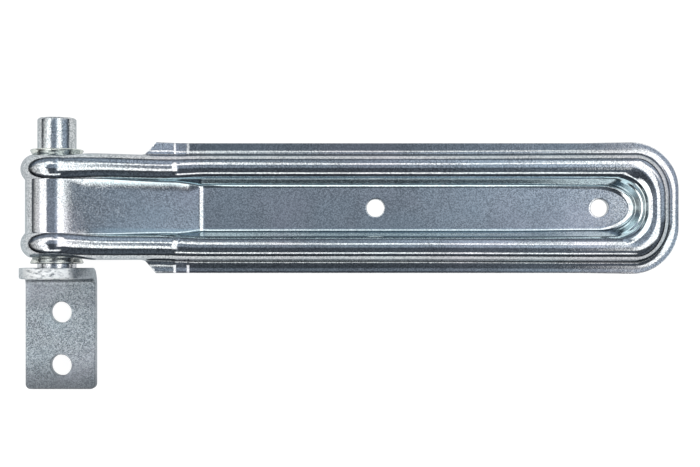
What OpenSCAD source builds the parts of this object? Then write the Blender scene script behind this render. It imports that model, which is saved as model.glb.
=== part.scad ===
// Trailer side hinge: a pressed strap with a rolled eye, turning on a pin
// that is fixed in a folded bracket. Millimetres. +X runs along the strap
// away from the pin, +Y along the pin towards its free end, +Z outwards.
// The origin is the middle of the strap's two bolt holes, on its back face.

/* [Sheet] */
// Thickness of the pressed sheet
sheet_t = 3; // [2.6:0.1:3.2]

/* [Eye and pin] */
// Distance from the pin's axis to the middle of the strap's bolt holes
pin_to_bolts = 181; // [175:1:190]
// Height of the pin's axis above the strap's back face
pin_z = 19; // [18:0.5:20]
// Radius of the pin
pin_r = 8; // [7:0.1:8]
// Free end of the pin above the middle of the eye
pin_top = 36.8; // [32:0.1:60]
// Chamfer at the pin's free end
pin_chamfer = 0.7; // [0.2:0.1:1.5]
// Radius of the bush's bore
bush_bore_r = 8.08; // [8.02:0.01:8.1]
// Outer radius of the bush
bush_r = 10; // [9.6:0.1:10]
// Clearance between the bush and the eye, on the radius
eye_clearance = 0.05; // [0.02:0.01:0.1]
// Half length of the bush
bush_half = 23.7; // [23.2:0.1:25]
// Outer radius of the bush's flared ends
flare_r = 11; // [10.6:0.1:12]
// Outer radius of the eye between its two beads
eye_r = 13; // [12.9:0.1:13.3]
// Half width of the eye, along the pin
eye_y = 21.2; // [21:0.1:21.4]
// How far the beads stand above the eye
eye_bead = 1.9; // [1.6:0.1:2.1]
// Distance of each bead from the middle of the eye
eye_bead_y = 15.5; // [15.2:0.1:15.8]
// Angle at which the rolled sheet ends, measured round from the front
eye_wrap = 254; // [230:2:256]

/* [Strap] */
// Half width of the flange
flange_y = 27.9; // [27.2:0.1:28.6]
// Height of the bead above the floor
bead_h = 9.5; // [9:0.1:10]
// Distance of the bead's crest from the centre line
bead_y = 16.95; // [16.8:0.05:17.1]
// Outer radius of the bead's crest
bead_r = 5.3; // [5:0.1:5.5]
// End of the strap, from the pin's axis
strap_end = 263.4; // [260:0.1:268]
// Distance between the strap's two bolt holes
strap_pitch = 96; // [80:1:100]
// Diameter of the strap's bolt holes
strap_hole_d = 7.5; // [6.5:0.5:9]

/* [Crank] */
// Where the floor bends up towards the eye, from the pin's axis
floor_bend = 58.6; // [57:0.2:60]
// Where the crest of the bead bends, from the pin's axis
crest_bend = 48.7; // [47.5:0.2:50]
// First bend of the flange, from the pin's axis
flange_bend_1 = 52.8; // [52:0.2:54]
// Second bend of the flange, from the pin's axis
flange_bend_2 = 47; // [46:0.2:48]
// Slope of the flange between its two bends, in degrees
flange_slope_1 = 10; // [6:1:12]
// Slope of the flange beyond its second bend, in degrees
flange_slope_2 = 28; // [27:0.5:29]
// Half width of the neck between the flange and the eye
neck_y = 22.2; // [22:0.1:22.6]

/* [Bracket] */
// Sideways offset of the bracket's centre line from the pin's axis
bracket_x = -0.65; // [-1:0.05:1]
// Width of the flat bar
bar_w = 29.7; // [26:0.1:34]
// Thickness of the flat bar
bar_t = 4.6; // [4:0.1:5]
// Height of the leg's back face above the strap's back face
leg_z = 5.5; // [4:0.5:7]
// Distance from the middle of the eye down to the bracket's shelf
shelf_y = 25.5; // [25:0.1:30]
// Distance from the middle of the eye down to the foot of the leg
leg_foot = 77; // [75:0.5:90]
// Inner radius of the fold
fold_r = 3; // [2:0.5:4]
// Rounding of the foot's corners
foot_r = 2.2; // [1:0.1:5]
// Sideways offset of the bracket's bolt holes from the pin's axis
bracket_bolts_x = -0.4; // [-1:0.1:1]
// Distance from the middle of the eye down to the middle of the bracket's bolt holes
bracket_bolts_y = 55.6; // [55:0.1:60]
// Distance between the bracket's two bolt holes
bracket_pitch = 22.4; // [20:0.1:26]
// Diameter of the bracket's bolt holes
bracket_hole_d = 9; // [7:0.5:11]

/* [Hidden] */
eps = 0.02;
zinc = [0.72, 0.75, 0.78];
zinc_dark = [0.62, 0.66, 0.70];
zinc_warm = [0.74, 0.76, 0.72];

// ---- heights along the strap, x measured from the pin's axis ----

// smooth step from 0 at a to 1 at b
function sm(x, a, b) = let (u = min(1, max(0, (x - a) / (b - a)))) u * u * (3 - 2 * u);
// distance left of a bend at xb, rounded over +-l
function bend(x, xb, l) = x > xb + l ? 0 : x < xb - l ? xb - x : pow(xb + l - x, 2) / (4 * l);

crest_r = eye_r + eye_bead;
crest_z = sheet_t + bead_h;
pad_slope = asin(eye_r / norm([floor_bend, pin_z - sheet_t])) + atan((pin_z - sheet_t) / floor_bend);
crest_slope = asin(crest_r / norm([crest_bend, pin_z - crest_z])) + atan((pin_z - crest_z) / crest_bend);
// the flange's line, carried on to the eye, passes this far from the pin's axis
flange_up = sheet_t + tan(flange_slope_1) * (flange_bend_1 - flange_bend_2)
            + tan(flange_slope_2) * flange_bend_2;
flange_r = (flange_up - pin_z) * cos(flange_slope_2);

function pad_z(x) = sheet_t + tan(pad_slope) * bend(x, floor_bend, 1.7);
function top_z(x) = crest_z + tan(crest_slope) * bend(x, crest_bend, 2);
function rim_z(x) = sheet_t + tan(flange_slope_1) * bend(x, flange_bend_1, 0.5)
                    + (tan(flange_slope_2) - tan(flange_slope_1)) * bend(x, flange_bend_2, 0.7);

// ---- one half section of the sheet ----
// c: crest distance, R: crest radius, R1: inner fillet, R2: outer fillet,
// f: floor height, h: crest height, g: flange height, e: flange edge.
// Each point is [distance from the centre line, height, normal angle].
wall_in = 70;
wall_out = 80;
function half_section(c, R, R1, R2, f, h, g, e) =
  let (
    H = h - f,
    full = (R + R1) * (1 - cos(wall_in)),
    t1 = H > full + 0.2 ? wall_in : acos(1 - (H - 0.15) / (R + R1)),
    L1 = (H - (R + R1) * (1 - cos(t1))) / sin(t1),
    w0 = c - (R + R1) * sin(t1) - L1 * cos(t1),
    L2 = (h - g - (R + R2) * (1 - cos(wall_out))) / sin(wall_out),
    wf = c + (R + R2) * sin(wall_out) + L2 * cos(wall_out)
  )
  concat(
    [[w0, f, 0]],
    [for (k = [1 : 3]) let (a = t1 * k / 3) [w0 + R1 * sin(a), f + R1 * (1 - cos(a)), -a]],
    [for (k = [3 : -1 : 0]) let (a = t1 * k / 3) [c - R * sin(a), h - R * (1 - cos(a)), -a]],
    [for (k = [1 : 4]) let (a = wall_out * k / 4) [c + R * sin(a), h - R * (1 - cos(a)), a]],
    [for (k = [3 : -1 : 0]) let (a = wall_out * k / 3) [wf - R2 * sin(a), g + R2 * (1 - cos(a)), a]],
    [[e, g, 0]]
  );

// section round the eye: heights are radii from the pin's axis
eye_section = half_section(eye_bead_y, 6.2, 0.6, 0.9, eye_r, crest_r, flange_r, flange_y);
// section at x on the neck and the flat
function run_section(x) = half_section(
    eye_bead_y + 0.8 * sm(x, 0, 24) + (bead_y - eye_bead_y - 0.8) * sm(x, 40, 62),
    6.2 - 0.5 * sm(x, 0, 24) - (5.7 - bead_r) * sm(x, 44, 62),
    0.6 + 0.9 * sm(x, 44, 62),
    0.9 + 1.1 * sm(x, 4, 44),
    pad_z(x), top_z(x), rim_z(x), flange_y);

// ---- the rounded end of the strap ----
// plan curve of a feature whose half width on the straight is w
function end_x(w) = strap_end + lookup(w, [[8.7, -22], [9.8, -20.7], [12, -17.2], [13.85, -15.4], [15.15, -13.7],
    [16.95, -11.8], [18.2, -10.5], [20.2, -8.1], [22.2, -5.8], [22.8, -4.6], [24.8, -2.4], [28.3, 0]]);
function end_a(w) = lookup(w, [[8.7, 15], [12, 12.5], [14.5, 11.4], [17, 11.2], [20, 12.4], [22.5, 14.4], [28.2, 20.5]]);
function end_b(w) = lookup(w, [[8.7, 8.5], [12, 11.5], [14.5, 12.9], [17, 14.4], [20, 16.6], [22.5, 17.8], [28.2, 20.5]]);
// the flange opens slightly and the floor narrows towards the end
function spread(w, x) = w * (1 + 0.013 * sm(w, 11, 15) * sm(x, 150, 232))
                        - 0.45 * (1 - sm(w, 9, 13)) * sm(x, 190, 228);

// ---- stations along one side, tail of the eye first ----
eye_angles = [for (k = [0 : 27]) -eye_wrap + (eye_wrap + pad_slope - 3) * k / 27];
run_xs = [10, 18, 26, 33, 39, 43.5, flange_bend_2 - 0.7, flange_bend_2, flange_bend_2 + 0.7, 49.6, 51,
          flange_bend_1 - 0.5, flange_bend_1 + 0.5, 55, floor_bend - 1.7, floor_bend - 0.8, floor_bend,
          floor_bend + 0.8, floor_bend + 1.7, 66, 150, 180, 200, 212, 221];
corner = [for (k = [0 : 8]) 90 - 90 * k / 8];

function off(p, t, kz) = [p[0] - t * sin(p[2]), p[1] - t * cos(p[2]) * kz];
// how far a bend at xb has turned at x, 0 on the flat and 1 on the slope
function turned(x, xb, l) = min(1, max(0, (xb + l - x) / (2 * l)));
// vertical thickness over sheet thickness on a slope, for the floor, the crest and the flange
function steep(s) = sqrt(1 + s * s);
function lean(x, j) = steep(
    j < 4 ? tan(pad_slope) * turned(x, floor_bend, 1.7)
    : j < 12 ? tan(crest_slope) * turned(x, crest_bend, 2)
    : tan(flange_slope_1) * turned(x, flange_bend_1, 0.5)
      + (tan(flange_slope_2) - tan(flange_slope_1)) * turned(x, flange_bend_2, 0.7));

function eye_ring(a, t) = [for (p = eye_section) let (q = off(p, t, 1)) [q[1] * sin(a), q[0], pin_z + q[1] * cos(a)]];
function run_ring(x, t) = let (sec = run_section(x))
    [for (j = [0 : len(sec) - 1]) let (q = off(sec[j], t, lean(x, j))) [x, spread(q[0], x), q[1]]];
function corner_ring(a, t) = [for (p = run_section(240)) let (
    q = off(p, t, 1), w = q[0], y = spread(w, 240), b = min(end_b(w), 0.97 * y), c = end_a(w), xe = end_x(w))
    [xe - c + c * cos(a), y - b + b * sin(a), q[1]]];
function middle_ring(t) = [for (p = run_section(240)) let (q = off(p, t, 1)) [end_x(q[0]), 0, q[1]]];

function side(t) = concat(
    [for (a = eye_angles) eye_ring(a, t)],
    [for (x = run_xs) run_ring(x, t)],
    [for (a = corner) corner_ring(a, t)]);
function flip(ring) = [for (p = ring) [p[0], -p[1], p[2]]];
function whole(t) = let (s = side(t), n = len(s))
    concat(s, [middle_ring(t)], [for (i = [n - 1 : -1 : 0]) flip(s[i])]);

module pressed_sheet() {
  outer = whole(0);
  inner = whole(sheet_t);
  S = len(outer);
  K = len(outer[0]);
  N = (S - 1) / 2;
  o = function (i, j) i * K + j;
  n = function (i, j) S * K + i * K + j;
  pts = concat([for (r = outer) each r], [for (r = inner) each r]);
  faces = concat(
    // front and back of the bead and flange
    [for (i = [0 : S - 2]) for (j = [0 : K - 2]) each [
      [o(i, j), o(i, j + 1), o(i + 1, j + 1)], [o(i, j), o(i + 1, j + 1), o(i + 1, j)],
      [n(i, j), n(i + 1, j + 1), n(i, j + 1)], [n(i, j), n(i + 1, j), n(i + 1, j + 1)]]],
    // front and back of the floor, between the two sides, and its tip
    [for (i = [0 : N - 3]) let (m = S - 1 - i) each [
      [o(i, 0), o(i + 1, 0), o(m - 1, 0)], [o(i, 0), o(m - 1, 0), o(m, 0)],
      [n(i, 0), n(m - 1, 0), n(i + 1, 0)], [n(i, 0), n(m, 0), n(m - 1, 0)]]],
    [[o(N - 2, 0), o(N - 1, 0), o(N, 0)], [o(N - 2, 0), o(N, 0), o(N + 2, 0)], [o(N, 0), o(N + 1, 0), o(N + 2, 0)],
     [n(N - 2, 0), n(N, 0), n(N - 1, 0)], [n(N - 2, 0), n(N + 2, 0), n(N, 0)], [n(N, 0), n(N + 2, 0), n(N + 1, 0)]],
    // free edge of the flange
    [for (i = [0 : S - 2]) each [
      [o(i, K - 1), n(i, K - 1), n(i + 1, K - 1)], [o(i, K - 1), n(i + 1, K - 1), o(i + 1, K - 1)]]],
    // end of the rolled sheet
    [for (j = [0 : K - 2]) each [
      [o(0, j), n(0, j + 1), o(0, j + 1)], [o(0, j), n(0, j), n(0, j + 1)],
      [o(S - 1, j), o(S - 1, j + 1), n(S - 1, j + 1)], [o(S - 1, j), n(S - 1, j + 1), n(S - 1, j)]]],
    [[o(0, 0), o(S - 1, 0), n(S - 1, 0)], [o(0, 0), n(S - 1, 0), n(0, 0)]]
  );
  polyhedron(points = pts, faces = faces, convexity = 12);
}

// outline of the waste beside the neck, cut off before the sheet is pressed
module neck_waste() {
  polygon([[-30, eye_y], [9, eye_y], [15, neck_y], [34.2, neck_y], [35.4, neck_y + 0.5], [36.2, neck_y + 1.5],
           [39.5, flange_y], [41, flange_y + 2], [41, 40], [-30, 40]]);
}

module hinge_strap() {
  color(zinc) translate([-pin_to_bolts, 0, 0]) difference() {
    pressed_sheet();
    for (s = [0, 1]) mirror([0, s, 0])
      translate([0, 0, -5]) linear_extrude(height = 60) neck_waste();
    translate([0, 30, pin_z]) rotate([90, 0, 0]) cylinder(r = bush_r + eye_clearance, h = 60, $fn = 96);
    for (s = [-1, 1])
      translate([pin_to_bolts + s * strap_pitch / 2, 0, -1]) cylinder(d = strap_hole_d, h = sheet_t + 2, $fn = 64);
  }
}

module bush() {
  from = eye_y + 0.2;  // the flares start just past the ends of the eye
  color(zinc_warm) translate([-pin_to_bolts, 0, pin_z]) rotate([-90, 0, 0])
    rotate_extrude($fn = 96) polygon([
      [bush_bore_r, -bush_half], [flare_r, -bush_half], [flare_r, -bush_half + 0.5],
      [bush_r, -from], [bush_r, from], [flare_r, bush_half - 0.5],
      [flare_r, bush_half], [bush_bore_r, bush_half]]);
}

module hinge_pin() {
  foot = -shelf_y - bar_t;
  color(zinc_dark) translate([-pin_to_bolts, 0, pin_z]) rotate([-90, 0, 0])
    rotate_extrude($fn = 96) polygon([
      [0, foot], [pin_r, foot], [pin_r, pin_top - pin_chamfer],
      [pin_r - pin_chamfer, pin_top], [0, pin_top]]);
}

module bracket_plate() {
  cz = leg_z + bar_t + fold_r;      // centre of the fold
  cy = -shelf_y - bar_t - fold_r;
  color(zinc_dark) translate([bracket_x - pin_to_bolts, 0, 0]) difference() {
    union() {
      // shelf with its full round end
      translate([0, -shelf_y, 0]) rotate([90, 0, 0]) linear_extrude(height = bar_t) union() {
        intersection() {
          translate([0, pin_z]) circle(r = bar_w / 2, $fn = 96);
          translate([-bar_w, pin_z - 1]) square([2 * bar_w, bar_w]);
        }
        translate([-bar_w / 2, cz - eps]) square([bar_w, pin_z - cz + eps]);
      }
      // fold
      translate([-bar_w / 2, cy, cz]) rotate([90, 0, 90]) rotate_fold();
      // leg
      translate([0, 0, leg_z]) linear_extrude(height = bar_t) union() {
        translate([-bar_w / 2, -leg_foot + foot_r]) square([bar_w, leg_foot - foot_r + cy + eps]);
        translate([-bar_w / 2 + foot_r, -leg_foot]) square([bar_w - 2 * foot_r, foot_r + eps]);
        for (s = [-1, 1]) translate([s * (bar_w / 2 - foot_r), -leg_foot + foot_r]) circle(r = foot_r, $fn = 48);
      }
    }
    // seat of the pin
    translate([-bracket_x, -shelf_y + 1, pin_z]) rotate([90, 0, 0]) cylinder(r = pin_r, h = bar_t + 2, $fn = 96);
    // bolt holes
    for (s = [-1, 1])
      translate([bracket_bolts_x - bracket_x, -bracket_bolts_y + s * bracket_pitch / 2, leg_z - 1])
        cylinder(d = bracket_hole_d, h = bar_t + 2, $fn = 64);
  }
}

// quarter ring of the fold, across the whole width of the bar
module rotate_fold() {
  linear_extrude(height = bar_w) intersection() {
    difference() {
      circle(r = fold_r + bar_t, $fn = 96);
      circle(r = fold_r, $fn = 96);
    }
    translate([0, -fold_r - bar_t - 1]) square([fold_r + bar_t + 1, fold_r + bar_t + 1]);
  }
}

hinge_strap();
bush();
hinge_pin();
bracket_plate();
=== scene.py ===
import math

import bpy
import numpy as np
from mathutils import Matrix, Vector
from mathutils.geometry import delaunay_2d_cdt


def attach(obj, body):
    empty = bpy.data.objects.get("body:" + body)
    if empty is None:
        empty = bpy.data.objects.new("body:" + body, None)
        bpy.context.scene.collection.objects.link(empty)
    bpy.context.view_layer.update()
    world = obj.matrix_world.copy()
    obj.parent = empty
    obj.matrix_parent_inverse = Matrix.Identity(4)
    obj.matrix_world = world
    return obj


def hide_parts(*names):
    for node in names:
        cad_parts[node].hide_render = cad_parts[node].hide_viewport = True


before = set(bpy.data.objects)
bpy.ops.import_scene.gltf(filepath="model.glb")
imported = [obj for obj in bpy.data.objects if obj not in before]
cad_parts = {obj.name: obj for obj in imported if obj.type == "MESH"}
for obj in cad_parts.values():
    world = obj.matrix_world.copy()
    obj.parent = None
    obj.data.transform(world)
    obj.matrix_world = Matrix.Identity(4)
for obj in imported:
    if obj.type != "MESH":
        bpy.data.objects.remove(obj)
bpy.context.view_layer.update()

# ---------------------------------------------------------------- sizes, mm
# The same sizes as the CAD part. x is measured from the pin's axis here.
SHEET = 3.0
PIN_TO_BOLTS = 181.0
PIN_Z = 19.0
PIN_R = 8.0
PIN_TOP = 36.8
PIN_CHAMFER = 0.7
BUSH_BORE = 8.08
BUSH_R = 10.0
EYE_BORE = 10.05
BUSH_HALF = 23.7
FLARE_R = 11.0
EYE_R = 13.0
EYE_BEAD = 1.86
EYE_BEAD_Y = 15.5
EYE_WRAP = 254.0
FLANGE_Y = 27.9
BEAD_H = 9.5
BEAD_Y = 16.95
BEAD_R = 5.3
STRAP_END = 263.39
STRAP_PITCH = 96.0
STRAP_HOLE_R = 3.75
FLOOR_BEND = 58.6
CREST_BEND = 48.7
FLANGE_BEND_1 = 52.8
FLANGE_BEND_2 = 47.0
FLANGE_SLOPE_1 = 10.0
FLANGE_SLOPE_2 = 28.0
NECK_Y = 22.2
BRACKET_X = -0.65
BAR_W = 29.7
BAR_T = 4.6
LEG_Z = 5.5
SHELF_Y = 25.5
LEG_FOOT = 77.0
FOLD_R = 3.0
FOOT_R = 2.2
HOLES_X = -0.4
HOLES_Y = 55.6
HOLES_PITCH = 22.4
HOLE_R = 4.5

rad, deg = math.radians, math.degrees


def row(p):
    """From the pin's frame in mm to the row frame in metres."""
    return ((p[0] - PIN_TO_BOLTS) * 1e-3, p[1] * 1e-3, p[2] * 1e-3)


def sm(x, a, b):
    u = min(1.0, max(0.0, (x - a) / (b - a)))
    return u * u * (3 - 2 * u)


def bend(x, xb, l):
    if x > xb + l:
        return 0.0
    if x < xb - l:
        return xb - x
    return (xb + l - x) ** 2 / (4 * l)


def turned(x, xb, l):
    return min(1.0, max(0.0, (xb + l - x) / (2 * l)))


CREST_R = EYE_R + EYE_BEAD
CREST_Z = SHEET + BEAD_H


def to_eye(r, x, h):
    """Slope in radians of the line from the bend at (x, h) that touches the circle of radius r round the pin."""
    return math.asin(r / math.hypot(x, PIN_Z - h)) + math.atan((PIN_Z - h) / x)


PAD_SLOPE = to_eye(EYE_R, FLOOR_BEND, SHEET)
CREST_SLOPE = to_eye(CREST_R, CREST_BEND, CREST_Z)
T1, T2 = math.tan(rad(FLANGE_SLOPE_1)), math.tan(rad(FLANGE_SLOPE_2))
FLANGE_UP = SHEET + T1 * (FLANGE_BEND_1 - FLANGE_BEND_2) + T2 * FLANGE_BEND_2
FLANGE_R = (FLANGE_UP - PIN_Z) * math.cos(rad(FLANGE_SLOPE_2))
PAD_L, CREST_L, RIM_L1, RIM_L2 = 1.45, 2.0, 0.25, 0.7
# the flange leaves the flat in a short steep step and a long gentle slope, as high together as the CAD's one slope
STEP_A, STEP_B = FLANGE_BEND_1 + 0.35, FLANGE_BEND_1 - 0.55
S1 = math.tan(rad(20))
S2 = (T1 * (FLANGE_BEND_1 - FLANGE_BEND_2) - S1 * (STEP_A - STEP_B)) / (STEP_B - FLANGE_BEND_2)


def pad_z(x):
    return SHEET + math.tan(PAD_SLOPE) * bend(x, FLOOR_BEND, PAD_L)


def top_z(x):
    return CREST_Z + math.tan(CREST_SLOPE) * bend(x, CREST_BEND, CREST_L)


def rim_z(x):
    return (SHEET + S1 * bend(x, STEP_A, RIM_L1) + (S2 - S1) * bend(x, STEP_B, RIM_L1)
            + (T2 - S2) * bend(x, FLANGE_BEND_2, RIM_L2))


def lean(x, part):
    s = (
        math.tan(PAD_SLOPE) * turned(x, FLOOR_BEND, PAD_L),
        math.tan(CREST_SLOPE) * turned(x, CREST_BEND, CREST_L),
        S1 * turned(x, STEP_A, RIM_L1) + (S2 - S1) * turned(x, STEP_B, RIM_L1)
        + (T2 - S2) * turned(x, FLANGE_BEND_2, RIM_L2),
    )[part]
    return math.hypot(1, s)


# ------------------------------------------------- half section of the sheet
WALL_IN, WALL_OUT = rad(70), rad(80)
N_RISE, N_IN, N_WALL, N_CREST, N_TOP, N_OUT = 6, 12, 20, 22, 11, 10


def fillet(R, a, A):
    """A fillet that starts softly and ends tightly. It is as wide as a round one of radius R that turns by A."""
    s = 0.412 * math.sin(A)
    b = math.asin(s)
    if a <= b:
        return 2 * R * math.sin(a), 2 * R * (1 - math.cos(a))
    return (2 * R * s + 0.3 * R * (math.sin(a) - s),
            2 * R * (1 - math.cos(b)) + 0.3 * R * (math.cos(b) - math.cos(a)))


def stepped(R, a):
    """The same for the fillet on the pin's free side, which the press left as a narrow slope of 20 to 30 degrees."""
    s1, s2, s = math.sin(rad(20)), math.sin(rad(30)), math.sin(a)
    c1, c2, c = math.cos(rad(20)), math.cos(rad(30)), math.cos(a)
    if s <= s1:
        return 0.3 * R * s, 0.3 * R * (1 - c)
    if s <= s2:
        return 0.3 * R * s1 + 4.5 * R * (s - s1), 0.3 * R * (1 - c1) + 4.5 * R * (c1 - c)
    return (0.3 * R * s1 + 4.5 * R * (s2 - s1) + 0.3 * R * (s - s2),
            0.3 * R * (1 - c1) + 4.5 * R * (c1 - c2) + 0.3 * R * (c2 - c))


def half_section(c, R, R1, R2, f, h, g, e, lift=0.0, step=0.0):
    """Points (distance from the centre line, height, normal angle, part), from the floor out to the edge.
    lift is how much the floor's border turns up, 0 to 1, over 4.4 mm. step is the share of the stepped fillet."""
    tilt = rad(8.5) * lift
    span = 0.4 + 4.0 * lift
    rise = span * math.tan(tilt / 2)
    fd, fz = fillet(R1, tilt, WALL_IN)
    f_wall = f + rise - fz
    H = h - f_wall
    full = (R + R1) * (1 - math.cos(WALL_IN))
    t1 = WALL_IN if H > full + 0.2 else math.acos(1 - (H - 0.15) / (R + R1))
    def inner(a):
        p, q = fillet(R1, a, t1), stepped(R1, a)
        return tuple(u + (v - u) * step for u, v in zip(p, q))

    wd, wz = inner(t1)
    L1 = (H - R * (1 - math.cos(t1)) - wz) / math.sin(t1)
    w0 = c - R * math.sin(t1) - wd - L1 * math.cos(t1)
    od, oz = fillet(R2, WALL_OUT, WALL_OUT)
    L2 = (h - g - R * (1 - math.cos(WALL_OUT)) - oz) / math.sin(WALL_OUT)
    wf = c + R * math.sin(WALL_OUT) + od + L2 * math.cos(WALL_OUT)
    start = w0 + fd - span
    out = []
    for k in range(N_RISE):
        t = k / N_RISE
        out.append((start + span * t, f + rise * t * t, -tilt * t, 0))
    for k in range(N_IN + 1):
        a = tilt + (t1 - tilt) * k / N_IN
        d, z = inner(a)
        out.append((w0 + d, f_wall + z, -a, 0))
    foot = out[-1]
    crest = (c - R * math.sin(t1), h - R * (1 - math.cos(t1)))
    for k in range(1, N_WALL + 1):
        t = k / (N_WALL + 1)
        out.append((foot[0] + (crest[0] - foot[0]) * t, foot[1] + (crest[1] - foot[1]) * t, -t1, 0))
    for k in range(N_CREST, -1, -1):
        a = t1 * k / N_CREST
        out.append((c - R * math.sin(a), h - R * (1 - math.cos(a)), -a, 1))
    for k in range(1, N_TOP + 1):
        a = WALL_OUT * k / N_TOP
        out.append((c + R * math.sin(a), h - R * (1 - math.cos(a)), a, 1))
    for k in range(N_OUT, -1, -1):
        a = WALL_OUT * k / N_OUT
        d, z = fillet(R2, a, WALL_OUT)
        out.append((wf - d, g + z, a, 2))
    out.append((wf + 0.35, g, 0.0, 2))
    out.append((e - 1.0, g, 0.0, 2))
    out.append((e, g, 0.0, 2))
    return out


EYE_SECTION = half_section(EYE_BEAD_Y, 6.2, 0.6, 0.9, EYE_R, CREST_R, FLANGE_R, FLANGE_Y)


def run_section(x, upper=False):
    return half_section(
        EYE_BEAD_Y + 0.8 * sm(x, 0, 24) + (BEAD_Y - EYE_BEAD_Y - 0.8) * sm(x, 40, 62),
        6.2 - 0.5 * sm(x, 0, 24) - (5.7 - BEAD_R) * sm(x, 44, 62),
        0.6 + 0.6 * sm(x, 6, 18) + 0.3 * sm(x, 44, 62),
        0.9 + 2.0 * sm(x, 4, 44),
        pad_z(x), top_z(x), rim_z(x), FLANGE_Y,
        sm(x, 4, 16) * (1 - sm(x, 54, 59)),
        sm(x, 62, 70) * (1 - sm(x, 185, 220)) if upper else 0.0)


def curve_through(xs, ys):
    """A smooth curve through the points that keeps rising where they rise (Fritsch-Carlson)."""
    xs, ys = np.array(xs, float), np.array(ys, float)
    d = np.diff(ys) / np.diff(xs)
    m = np.empty(len(xs))
    m[0], m[-1] = d[0], d[-1]
    for i in range(1, len(xs) - 1):
        if d[i - 1] * d[i] <= 0:
            m[i] = 0
        else:
            w1, w2 = 2 * (xs[i + 1] - xs[i]) + xs[i] - xs[i - 1], xs[i + 1] - xs[i] + 2 * (xs[i] - xs[i - 1])
            m[i] = (w1 + w2) / (w1 / d[i - 1] + w2 / d[i])

    def at(x):
        x = min(max(x, xs[0]), xs[-1])
        i = min(int(np.searchsorted(xs, x, side="right")) - 1, len(xs) - 2)
        h = xs[i + 1] - xs[i]
        t = (x - xs[i]) / h
        return float((1 + 2 * t) * (1 - t) ** 2 * ys[i] + t * (1 - t) ** 2 * h * m[i]
                     + t * t * (3 - 2 * t) * ys[i + 1] + t * t * (t - 1) * h * m[i + 1])

    return at


END_X = curve_through([5.5, 8.7, 9.8, 12, 13.85, 15.15, 16.95, 18.2, 20.2, 22.2, 22.8, 24.8, 28.3],
                      [-25.6, -22, -20.7, -17, -14.9, -13.2, -11.7, -10.5, -8.1, -5.8, -4.6, -2.4, 0])
END_A = curve_through([5.5, 8.7, 12, 14.5, 17, 20, 22.5, 28.2], [16.5, 15, 12.5, 11.4, 11.2, 12.4, 14.4, 20.5])
END_B = curve_through([5.5, 8.7, 12, 14.5, 17, 20, 22.5, 28.2], [5.4, 8.5, 11.5, 12.9, 14.4, 16.6, 17.8, 20.5])


def end_x(w):
    return STRAP_END + END_X(w)


def spread(w, x):
    return w * (1 + 0.013 * sm(w, 11, 15) * sm(x, 150, 232)) - 0.45 * (1 - sm(w, 9, 13)) * sm(x, 190, 228)


# outline of the blank beside the neck, as a function of x
EYE_Y = 21.2
BLANK_X = [-1e3, 9, 15, 34.2, 35.4, 36.2, 39.5, 1e3]
BLANK_Y = [EYE_Y, EYE_Y, NECK_Y, NECK_Y, NECK_Y + 0.5, NECK_Y + 1.5, FLANGE_Y, FLANGE_Y]


def blank_y(x):
    return float(np.interp(x, BLANK_X, BLANK_Y))


def cut_at(line, limit):
    """The polyline of (w, height) up to w = limit. Points past it close up on the cut, so every line keeps its count."""
    out, end = [], None
    for i, p in enumerate(line):
        if end is None and p[0] <= limit + 1e-9:
            out.append((p[0], p[1]))
            continue
        if end is None:
            q = line[i - 1]
            t = (limit - q[0]) / (p[0] - q[0])
            end = (limit, q[1] + t * (p[1] - q[1]))
        out.append(end)
    return out


def rounded(p, along, down, r, n=3):
    """Points round a corner at p, from r back along one side to r along the other."""
    a = (p[0] - along[0] * r, p[1] - along[1] * r)
    b = (p[0] + down[0] * r, p[1] + down[1] * r)
    out = []
    for k in range(n + 1):
        t = k / n
        out.append(tuple((1 - t) ** 2 * a[i] + 2 * t * (1 - t) * p[i] + t * t * b[i] for i in (0, 1)))
    return out


def direction(line):
    """Unit direction of the last piece of a polyline that has any length."""
    q = line[-1]
    for p in reversed(line):
        d = (q[0] - p[0], q[1] - p[1])
        n = math.hypot(*d)
        if n > 0.05:
            return (d[0] / n, d[1] / n)
    return (1.0, 0.0)


EDGE = 0.45


def outline(front, back, limit, floor_r=None):
    """The closed half outline of one station: front face, cut edge with its rounded corners, back face."""
    f = cut_at(front, limit)
    b = cut_at(back, limit)
    if floor_r is not None:
        f = [(p[0], max(p[1], floor_r + 0.3)) for p in f]
        b = [(p[0], max(p[1], floor_r)) for p in b]
    gap = f[-1][1] - b[-1][1]
    r = min(EDGE, max(gap, 0.05) / 2.2)
    df, db = direction(f), direction(b)
    rf = rounded(f[-1], df, (0, -1), r)
    rb = rounded(b[-1], db, (0, 1), r * 0.6)
    # points of the face that would lie past the rounding close up on its start
    lim_f, lim_b = rf[0], rb[0]
    f = [p if math.dist(p, f[-1]) > r and p[0] < f[-1][0] - 1e-6 else lim_f for p in f]
    b = [p if math.dist(p, b[-1]) > r * 0.6 and p[0] < b[-1][0] - 1e-6 else lim_b for p in b]
    return f + rf + [tuple((rf[-1][i] + rb[-1][i]) / 2 for i in (0, 1))] + rb[::-1] + b[::-1]


def off(p, t, kz):
    return (p[0] - t * math.sin(p[2]), p[1] - t * math.cos(p[2]) * kz)


def eye_ring(a):
    front = [(p[0], p[1]) for p in EYE_SECTION]
    back = [off(p, SHEET, 1) for p in EYE_SECTION]
    o = outline(front, back, EYE_Y, EYE_BORE)
    return [(r * math.sin(a), w, PIN_Z + r * math.cos(a)) for w, r in o]


def run_ring(x, upper):
    sec = run_section(x, upper)
    front = [(spread(p[0], x), p[1]) for p in sec]
    back = []
    for p in sec:
        q = off(p, SHEET, lean(x, p[3]))
        back.append((spread(q[0], x), max(q[1], 0.0)))
    return [(x, w, z) for w, z in outline(front, back, blank_y(x))]


SEC_240 = run_section(240.0)
FLAT_240 = outline([(p[0], p[1]) for p in SEC_240], [off(p, SHEET, 1) for p in SEC_240], FLANGE_Y)


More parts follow.
